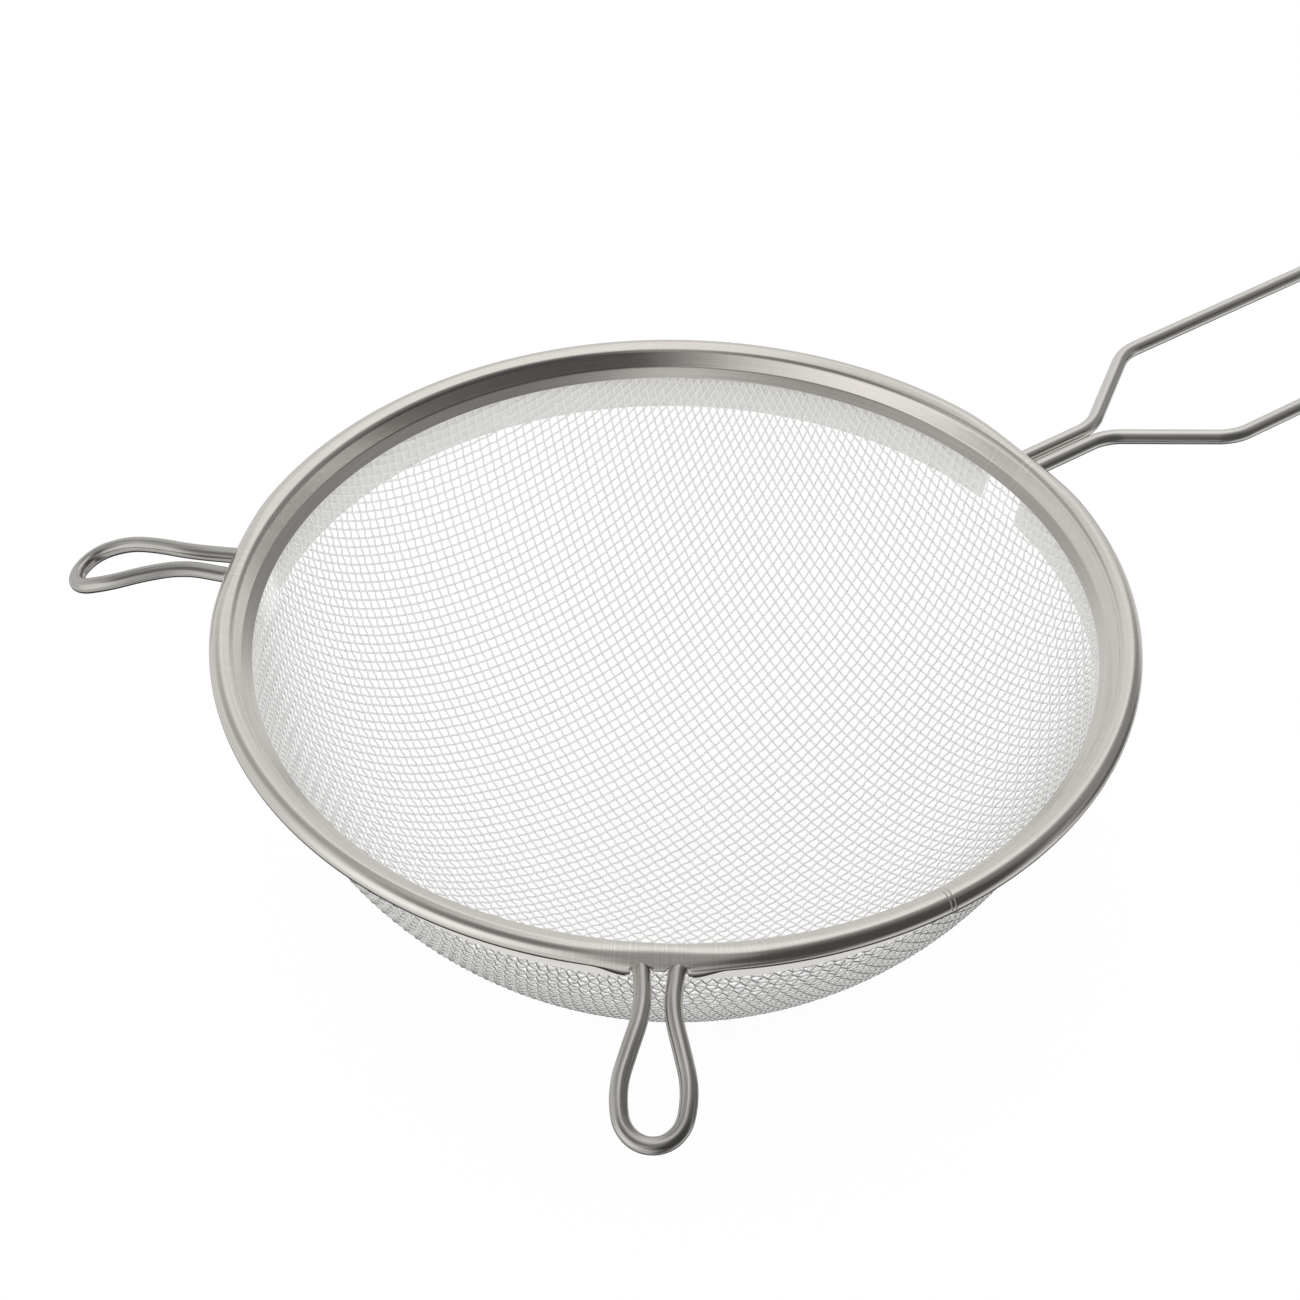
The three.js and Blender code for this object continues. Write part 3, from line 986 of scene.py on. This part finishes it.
@dataclass
class RolledRim:
    """The strip rolled round the rim wire: lip inside, bead on top, skirt outside the mesh.

    Attributes:
        exits: The pairs of wires that come out of the bead.
        notch_width: Gap in the skirt at each exit.
        notch_top: The gap's top edge, below the bead's centre.
        dip: How far the bead's underside hangs lower beside an exit.
        dip_reach: How far from the middle of the exit it does so.
        drawn_from: Height on the bead below which it is drawn up to an exit, as a share of its radius.
        pressed: How far the bead's outer upper side is pressed flat at an exit, from 0 to 1.
        pressed_reach: How far from the middle of the exit it is so.
        pressed_low: Direction from the bead's centre where the flat side starts, in degrees above level.
        pressed_high: Direction where it ends.
        seam: Degrees round from the handle to the weld where the strip's ends meet.
        seam_half: Half the weld's width.
        seam_depth: Depth of the groove along each side of the weld.
        seam_groove: Width of the groove.
        crease_out: How much further out the crease is than on the solid.
        crease_up: How much higher it is.
        crease_bend: Bend of the strip at the crease.
        shoulder_turn: Degrees past its top at which the bead goes over into its shoulder.
        shoulder_bend: Bend of the strip from the shoulder into the flank.
        flank_slope: Slope of the flank, from the crease up to the shoulder, in degrees.
        skirt_painted_white: How far the skirt is painted matt white, a painted reflection of the bright floor
            below, from 0 to 1.
        rubbed_and_painted_bright: How much the bead is rubbed away from the exits, from 0 to 1.
        rows_far: Distance between sections round the rim.
        rows_near: The same near an exit.
        rows_seam: The same at the weld.
    """

    exits: tuple[WirePair, ...]
    notch_width: float = 13.0
    notch_top: float = 1.5
    dip: float = 2.0
    dip_reach: float = 14.0
    drawn_from: float = 0.6
    pressed: float = 0.6
    pressed_reach: float = 22.0
    pressed_low: float = -20.0
    pressed_high: float = 112.0
    seam: float = -92.5
    seam_half: float = 0.5
    seam_depth: float = 0.12
    seam_groove: float = 0.1
    crease_out: float = 0.55
    crease_up: float = 0.2
    crease_bend: float = 1.0
    shoulder_turn: float = 14.0
    shoulder_bend: float = 1.6
    flank_slope: float = 68.0
    skirt_painted_white: float = 0.72
    rubbed_and_painted_bright: float = 0.3
    rows_far: float = 2.0
    rows_near: float = 0.4
    rows_seam: float = 0.1

    def section(self) -> tuple[Array, int]:
        """Works out the middle line of the strip's section.

        It goes from the lip's edge through the crease, up the flank and over the shoulder to the bead,
        clockwise round the bead, level inwards below it and down the leaning skirt. The shoulder's corner is
        where the flank meets the bead's tangent.

        Returns:
            Points (distance from the axis, height from the bead's centre), and the number of the first point
            that the notches cut away.
        """
        turn, slope = math.radians(self.shoulder_turn), math.radians(self.flank_slope)
        bead = arc((SIZES.bead_centre, 0), SIZES.bead_radius, np.pi / 2 + turn, -np.pi / 2)
        fold = np.array(SIZES.crease) + np.array([self.crease_out, self.crease_up])
        flank = np.array([math.cos(slope), math.sin(slope)])
        tangent = np.array([math.cos(turn), math.sin(turn)])
        share, _ = np.linalg.solve(np.column_stack([flank, tangent]), bead[0] - fold)
        shoulder = fold + share * flank
        inside = rounded_line([
            (SIZES.lip_edge, 0.0), (tuple(fold), self.crease_bend), (tuple(shoulder), self.shoulder_bend),
            (tuple(bead[0]), 0.0)])
        inside = np.concatenate([straight(inside[0], inside[1], 4), inside[2:]])
        bend = arc(SIZES.bend_centre, SIZES.skirt_bend, np.pi / 2, np.pi - SIZES.lean)
        foot = np.array([SIZES.skirt_radius(-SIZES.skirt_drop), -SIZES.skirt_drop])
        under = [straight(bead[-1], bend[0], 4)[1:], bend[1:], straight(bend[-1], foot, 8)[1:]]
        cut = len(inside) - 1 + int(np.argmax(bead[:, 1] < -self.notch_top))
        return np.concatenate([inside[:-1], bead, *under]), cut

    def across(self, azimuth: Array, middle: float) -> Array:
        """Gives distances in millimetres round the rim from an azimuth in degrees."""
        return np.radians((azimuth - middle + 180) % 360 - 180) * SIZES.rim_radius

    def azimuths(self) -> Array:
        """Spaces the sections round the rim: closer near each exit, with one on each side of its notch.

        Returns:
            Angles in degrees, rising, over one turn.
        """
        half = self.notch_width / 2
        near = np.concatenate([
            np.arange(-half, -self.dip_reach, -self.rows_near),
            np.linspace(-half, half, round(self.notch_width / self.rows_near) + 1)[1:-1],
            np.arange(half, self.dip_reach, self.rows_near)])
        seam_rows = round(2 * (self.seam_half + self.seam_groove) / self.rows_seam)
        seam = np.arange(-seam_rows, seam_rows + 1) * self.rows_seam
        around = np.arange(0, 2 * np.pi * SIZES.rim_radius, self.rows_far)
        azimuth = np.degrees(around / SIZES.rim_radius)
        for middle, places in [(pair.angle, near) for pair in self.exits] + [(self.seam, seam)]:
            clear = np.abs(self.across(azimuth, middle)) > np.abs(places).max() + self.rows_near
            azimuth = np.concatenate([azimuth[clear], middle + np.degrees(places / SIZES.rim_radius)])
        return np.sort(azimuth % 360)

    def arches(self, azimuth: Array) -> Array:
        """Finds how high the notch's top edge rises over the legs of wire.

        Args:
            azimuth: Angles in degrees.

        Returns:
            Heights from the bead's centre: the notch's top, or a half circle round a leg where it is higher.
        """
        top = np.full(len(azimuth), -self.notch_top)
        hole = SIZES.wire / 2 + SIZES.gap
        for pair in self.exits:
            off_leg = np.abs(self.across(azimuth, pair.angle)) - pair.root / 2
            over = -pair.drop + np.sqrt(np.clip(hole**2 - off_leg**2, 0, None))
            top = np.where(np.abs(off_leg) < hole, np.maximum(top, over), top)
        return top

    def lowered(self, azimuth: Array) -> Array:
        """Finds how far the bead's underside hangs lower, most beside the legs and not at all between them.

        Args:
            azimuth: Angles in degrees.

        Returns:
            Distances in millimetres.
        """
        drop = np.zeros(len(azimuth))
        for pair in self.exits:
            away = np.abs(self.across(azimuth, pair.angle))
            rise = smooth_step((away - pair.root / 2) / (self.notch_width / 2 - pair.root / 2))
            fall = smooth_step((self.dip_reach - away) / (self.dip_reach - self.notch_width / 2))
            drop += self.dip * rise * fall
        return drop

    def flattened(self, azimuth: Array, points: Array) -> Array:
        """Presses the bead flatter at the exits.

        Between two directions from the bead's centre, a point is moved towards the chord of the bead
        there, by a share that eases off along the rim.

        Args:
            azimuth: Angles in degrees.
            points: Points of the sections, shape (azimuths, points, 2).

        Returns:
            The moved points.
        """
        away = np.min([np.abs(self.across(azimuth, pair.angle)) for pair in self.exits], axis=0)
        share = self.pressed * smooth_step((self.pressed_reach - away) / self.pressed_reach)
        low, high = math.radians(self.pressed_low), math.radians(self.pressed_high)
        facing = np.array([math.cos((low + high) / 2), math.sin((low + high) / 2)])
        from_centre = points - np.array([SIZES.bead_centre, 0])
        chord = SIZES.bead_radius * math.cos((high - low) / 2)
        above = np.clip(from_centre @ facing - chord, 0, None)
        return points - (share[:, None] * above)[..., None] * facing

    def middle_lines(self, azimuth: Array, line: Array, cut: int) -> tuple[Array, Array]:
        """Shapes the section at each azimuth.

        Towards a notch the outside of the bead is drawn up along the section to the arches over the legs,
        and beside it the underside hangs lower, in full below the bead and less down the skirt.

        Args:
            azimuth: Angles in degrees.
            line: Points of the plain section.
            cut: Number of the section's point at the top of the notches.

        Returns:
            Points and unit normals of the sections, both with shape (azimuths, points, 2).
        """
        radius = SIZES.bead_radius
        length = lengths_along(line)
        outside = line[:, 0] > SIZES.bead_centre
        fixed = int(np.argmax(outside & (line[:, 1] < radius * self.drawn_from)))
        # The points between the fixed one and the notch's top slide along the section.
        turn = np.arcsin(np.clip(self.arches(azimuth), -radius, line[fixed, 1]) / radius)
        wanted = length[cut] + (math.asin(line[cut, 1] / radius) - turn) * radius
        share = np.clip((length - length[fixed]) / (length[cut] - length[fixed]), 0, 1)
        share[cut + 1:] = 0
        along = length + share * (wanted - length[cut])[:, None]
        points = np.stack([np.interp(along, length, values) for values in line.T], axis=-1)
        # The points below the bead's centre go down, and those at the skirt's edge stay.
        below = smooth_step(-points[..., 1] / radius)
        down_skirt = (points[..., 1] + SIZES.skirt_drop) / (SIZES.skirt_drop + SIZES.bend_centre[1])
        under = np.where(np.arange(len(line)) < fixed, 0, below * np.clip(down_skirt, 0, 1))
        points[..., 1] -= under * self.lowered(azimuth)[:, None]
        points = self.flattened(azimuth, points)
        normals = unit(np.gradient(points, axis=1) @ np.array([[0, 1], [-1, 0]]))
        return points, normals

    def faces(self, azimuth: Array, columns: int, cut: int) -> Array:
        """Numbers the faces of the strip, with the notches left open and all its edges closed.

        Args:
            azimuth: Angles in degrees of the sections.
            columns: Points of a section on one face; those of the hidden face follow those of the shown one.
            cut: Number of the section's point at the top of the notches.

        Returns:
            Rows of four point numbers.
        """
        rows = len(azimuth)
        after = np.roll(azimuth, -1)
        middle = azimuth + ((after - azimuth) % 360) / 2
        away = np.array([np.abs(self.across(middle, pair.angle)) for pair in self.exits])
        is_open = (away < self.notch_width / 2).any(axis=0)
        number = np.arange(rows * 2 * columns).reshape(rows, 2, columns)
        shown, hidden = number[:, 0], number[:, 1]
        next_shown, next_hidden = np.roll(shown, -1, axis=0), np.roll(hidden, -1, axis=0)

        def wall(*corners: Array) -> Array:
            """Stacks four arrays of point numbers into faces."""
            return np.stack(corners, axis=-1).reshape(-1, 4)

        solid = ~(is_open[:, None] & (np.arange(columns - 1) >= cut))
        skin = np.stack([next_shown[:, :-1], next_shown[:, 1:], shown[:, 1:], shown[:, :-1]], axis=-1)
        lining = np.stack([hidden[:, :-1], hidden[:, 1:], next_hidden[:, 1:], next_hidden[:, :-1]], axis=-1)
        last = np.where(is_open, cut, columns - 1)
        row = np.arange(rows)
        lip = wall(next_shown[:, 0], shown[:, 0], hidden[:, 0], next_hidden[:, 0])
        edge = wall(shown[row, last], next_shown[row, last], next_hidden[row, last], hidden[row, last])
        starts = np.flatnonzero(is_open & ~np.roll(is_open, 1))
        ends = np.flatnonzero(~is_open & np.roll(is_open, 1))
        first_sides = wall(
            shown[starts, cut + 1:], shown[starts, cut:-1], hidden[starts, cut:-1], hidden[starts, cut + 1:])
        last_sides = wall(
            shown[ends, cut:-1], shown[ends, cut + 1:], hidden[ends, cut + 1:], hidden[ends, cut:-1])
        return np.concatenate([skin[solid], lining[solid], lip, edge, first_sides, last_sides])

    def build(self) -> Surface:
        """Carries the strip's section round the rim.

        A point is the middle line moved half the strip's thickness to either side along its normal, and
        turned to its azimuth. At the seam the shown face sinks into a narrow groove along each side of the
        weld. The hidden face is painted matt white, lightening its shade, and the skirt's shown face nearly
        so, a painted reflection of the bright floor below.

        Returns:
            The surface of the strip.
        """
        line, cut = self.section()
        azimuth = self.azimuths()
        middle, normal = self.middle_lines(azimuth, line, cut)
        from_seam = np.abs(self.across(azimuth, self.seam))
        groove = self.seam_depth * np.exp(-((from_seam - self.seam_half) / self.seam_groove) ** 2)
        shown = middle + normal * (SIZES.strip / 2 - groove)[:, None, None]
        hidden = middle - normal * SIZES.strip / 2
        both = np.stack([shown, hidden], axis=1)
        turn = np.radians(azimuth)[:, None, None]
        points = np.stack([
            both[..., 0] * np.cos(turn),
            both[..., 0] * np.sin(turn),
            both[..., 1] + SIZES.bead_height], axis=-1)
        columns = len(line)
        length = lengths_along(line)
        shape = both.shape[:-1]
        round_rim = np.broadcast_to(turn * SIZES.rim_radius, shape)
        flow = np.stack([round_rim, np.broadcast_to(length, shape)], axis=-1)
        away = np.array([self.across(azimuth, pair.angle) for pair in self.exits])
        near_exit = np.exp(-(away / self.dip_reach) ** 2).max(axis=0)
        rubbed_and_painted_bright = self.rubbed_and_painted_bright + (1 - self.rubbed_and_painted_bright) * near_exit
        skirt = smooth_step((-line[:, 1] - SIZES.bead_radius) / SIZES.skirt_bend)
        skirt = np.where(np.arange(columns) > cut, skirt, 0.0)
        # The skirt is painted matt white, a painted reflection of the bright floor below; the hidden face is
        # painted matt white all over, lightening its shade.
        shown_wear_and_painted_light = rubbed_and_painted_bright[:, None] * (1 - skirt) - self.skirt_painted_white * skirt
        wear_and_painted_light = np.stack([shown_wear_and_painted_light, np.full(shown_wear_and_painted_light.shape, -1.0)], axis=1)
        no_caps = np.zeros((0, 4), dtype=int)
        return Surface(
            points.reshape(-1, 3), self.faces(azimuth, columns, cut), no_caps,
            flow.reshape(-1, 2), wear_and_painted_light.ravel()).compact()

    def dress(self, finishes: Finishes) -> None:
        """Adds the strip in its finish."""
        finishes.add("rim_band", self.build(), Slot.STRIP, "rim_band")


@dataclass
class RimWires:
    """The wire inside the bead, which keeps the meshes of its solids.

    Attributes:
        nodes: Names of the solids.
    """

    nodes: tuple[str, ...] = ("rim_wire_right", "rim_wire_front", "rim_wire_left")

    def dress(self, finishes: Finishes, solids: dict) -> None:
        """Gives the solids their finish.

        Args:
            finishes: The finishes.
            solids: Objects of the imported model, by name.
        """
        for node in self.nodes:
            finishes.dress(solids[node], Slot.WIRE)
            log.info("%s: kept as the solid", node)


@dataclass(frozen=True)
class Patch:
    """A round patch of the surroundings, as the metal mirrors it.

    Attributes:
        side: Degrees to the right of the camera's own side.
        height: Degrees above the horizon.
        inner: Degrees from its middle up to which it has its full strength.
        outer: Degrees from its middle where it ends.
        level: Brightness, where 1 is white.
    """

    side: float
    height: float
    inner: float
    outer: float
    level: float


@dataclass
class Studio:
    """White floor, soft light from all round, patches for the metal to mirror, and the camera.

    Attributes:
        frame_pixels: Width of the picture.
        focal_pixels: Focal length in the same pixels.
        camera_place: Where the camera is.
        camera_target: Point in the middle of the picture.
        camera_roll: Turn of the camera about its own axis, in degrees.
        floor_white: The floor's own brightness.
        floor_matt: How much light the floor throws back, which also makes the shadow.
        floor_half: Half the floor's side, in metres.
        light: Brightness all round, as matt surfaces take it.
        sky: Brightness all round, as the metal mirrors it.
        patches: Brighter and darker patches that the metal mirrors, each over those before.
    """

    frame_pixels: float = 1300.0
    focal_pixels: float = 3000.0
    camera_place: tuple[float, float, float] = (-284.55, -390.65, 511.49)
    camera_target: tuple[float, float, float] = (-10.01, -4.57, 81.54)
    camera_roll: float = 0.592
    floor_white: float = 0.82
    floor_matt: float = 0.25
    floor_half: float = 6.0
    light: float = 1.0
    sky: float = 0.85
    patches: tuple[Patch, ...] = (
        Patch(side=165.0, height=72.0, inner=10.0, outer=45.0, level=1.15),  # bright, overhead
        Patch(side=180.0, height=-72.0, inner=30.0, outer=42.0, level=0.05),  # dark, below
        Patch(side=-125.0, height=50.0, inner=14.0, outer=30.0, level=0.5),  # grey, high at the far left
        Patch(side=-55.0, height=-3.0, inner=12.0, outer=38.0, level=1.3),  # bright, level on the left
        Patch(side=-42.0, height=50.0, inner=14.0, outer=34.0, level=0.25),  # dark, high on the left
        Patch(side=115.0, height=28.0, inner=20.0, outer=38.0, level=0.3),  # dark, at the far right
        Patch(side=112.0, height=-14.0, inner=12.0, outer=24.0, level=0.15),  # dark, low at the far right
        Patch(side=85.0, height=58.0, inner=12.0, outer=26.0, level=0.3),  # dark, high on the right
        Patch(side=42.0, height=60.0, inner=10.0, outer=22.0, level=0.25),  # dark, high at the near right
        Patch(side=22.0, height=-42.0, inner=10.0, outer=24.0, level=0.15),  # dark, low at the near side
        Patch(side=44.0, height=12.0, inner=34.0, outer=60.0, level=0.08),  # dark and wide, near right
    )

    def camera(self) -> None:
        """Places the camera; the lens follows from the focal length in pixels."""
        place = Vector(self.camera_place) * METRE
        back = (place - Vector(self.camera_target) * METRE).normalized()
        right = Vector((0, 0, 1)).cross(back).normalized()
        up = back.cross(right)
        roll = math.radians(self.camera_roll)
        across = math.cos(roll) * right + math.sin(roll) * up
        upward = -math.sin(roll) * right + math.cos(roll) * up
        data = bpy.data.cameras.new("camera")
        data.sensor_width = 36.0
        data.lens = data.sensor_width * self.focal_pixels / self.frame_pixels
        data.clip_start, data.clip_end = 0.01, 50.0
        camera = bpy.data.objects.new("camera", data)
        axes = Matrix((across, upward, back)).transposed().to_4x4()
        camera.matrix_world = Matrix.Translation(place) @ axes
        bpy.context.scene.collection.objects.link(camera)
        bpy.context.scene.camera = camera

    def plane(self, name: str, half: float, height: float, shader: Shader) -> bpy.types.Object:
        """Lays a square on the stage.

        Args:
            name: Name of the square.
            half: Half its side, in metres.
            height: Its height, in metres.
            shader: Its finish.

        Returns:
            The square.
        """
        mesh = bpy.data.meshes.new(name)
        mesh.from_pydata(
            [(-half, -half, height), (half, -half, height), (half, half, height), (-half, half, height)],
            [], [(0, 1, 2, 3)])
        mesh.materials.append(shader.owner)
        made = bpy.data.objects.new(name, mesh)
        bpy.context.scene.collection.objects.link(made)
        return made

    def floor(self) -> None:
        """Lays the white floor: its own white, and a matt share that takes light and shadow.

        The metal doesn't mirror it, but the surroundings behind it.
        """
        shader = Shader(bpy.data.materials.new("white_floor"))
        own = shader.node("Emission", None, Strength=self.floor_white)
        grey = self.floor_matt
        matt = shader.node("BsdfDiffuse", None, Color=(grey, grey, grey, 1))
        shader.node("OutputMaterial", None, Surface=shader.both(own, matt))
        self.plane("floor", self.floor_half, 0.0, shader).visible_glossy = False

    def surround(self) -> None:
        """Makes the surroundings: plain white light, with brighter and darker patches for the metal."""
        shader = Shader(bpy.data.worlds.new("surround"))
        bpy.context.scene.world = shader.owner
        direction = shader.node("TexCoord").outputs["Generated"]
        facing = math.atan2(self.camera_place[1], self.camera_place[0])
        level: object = self.sky
        for patch in self.patches:
            side = facing + math.radians(patch.side)
            height = math.radians(patch.height)
            near = shader.node("VectorMath", {"operation": "DOT_PRODUCT"})
            shader.feed(near.inputs[0], direction)
            shader.feed(near.inputs[1], (
                math.cos(height) * math.cos(side), math.cos(height) * math.sin(side), math.sin(height)))
            ends = math.cos(math.radians(patch.outer)), math.cos(math.radians(patch.inner))
            level = shader.blend(shader.span(near.outputs["Value"], ends, (0.0, 1.0)), level, patch.level)
        mirrored = shader.node("LightPath").outputs["Is Glossy Ray"]
        light = shader.node("Background", None, Strength=shader.blend(mirrored, self.light, level))
        shader.node("OutputWorld", None, Surface=light.outputs[0])

    def build(self) -> None:
        """Sets up the camera, the floor and the surroundings."""
        bpy.context.scene.view_settings.view_transform = "Standard"
        self.camera()
        self.floor()
        self.surround()


def wire_pairs() -> tuple[WirePair, WirePair, WirePair]:
    """Gives the handle and the two rest loops.

    Their ends are a little short of the sizes on the solids, to stay inside the solids' facets.

    Returns:
        Handle, right loop and left loop.
    """
    short = 0.1
    end = 190.0 - short - SIZES.wire / 2
    half = 19.65
    # The handle is painted lighter, standing in for the brighter light that it catches.
    handle = WirePair(
        "handle_wire", angle=0.0, root=4.54, drop=2.0, rubbed_and_painted_bright=0.8,
        corners=((21.0, 2.27, 13.0), (46.0, half, 13.0), (end, half, half), (end, 0.0, 0.0)))
    tip = 36.0 - short
    loop = ((9.5, 2.7, 30.0), (26.3, 7.0, 20.0), (tip, 5.3, 6.2), (tip, 0.0, 0.0))
    right = WirePair(
        "rest_loop_right", angle=134.1, root=7.0, drop=1.2, corners=loop, droop=8.6, droop_start=5.0)
    left = WirePair(
        "rest_loop_left", angle=-127.2, root=7.0, drop=1.2, corners=loop, droop=7.4, droop_start=5.0)
    return handle, right, left


def main() -> None:
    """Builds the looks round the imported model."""
    logging.basicConfig(level=logging.INFO, format="%(name)s: %(message)s")
    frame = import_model()
    finishes = Finishes()
    pairs = wire_pairs()
    WovenBowl().dress(finishes)
    RolledRim(pairs).dress(finishes)
    for pair in pairs:
        pair.dress(finishes)
    RimWires().dress(finishes, frame["nodes"])
    Studio().build()


if __name__ == "__main__":
    main()
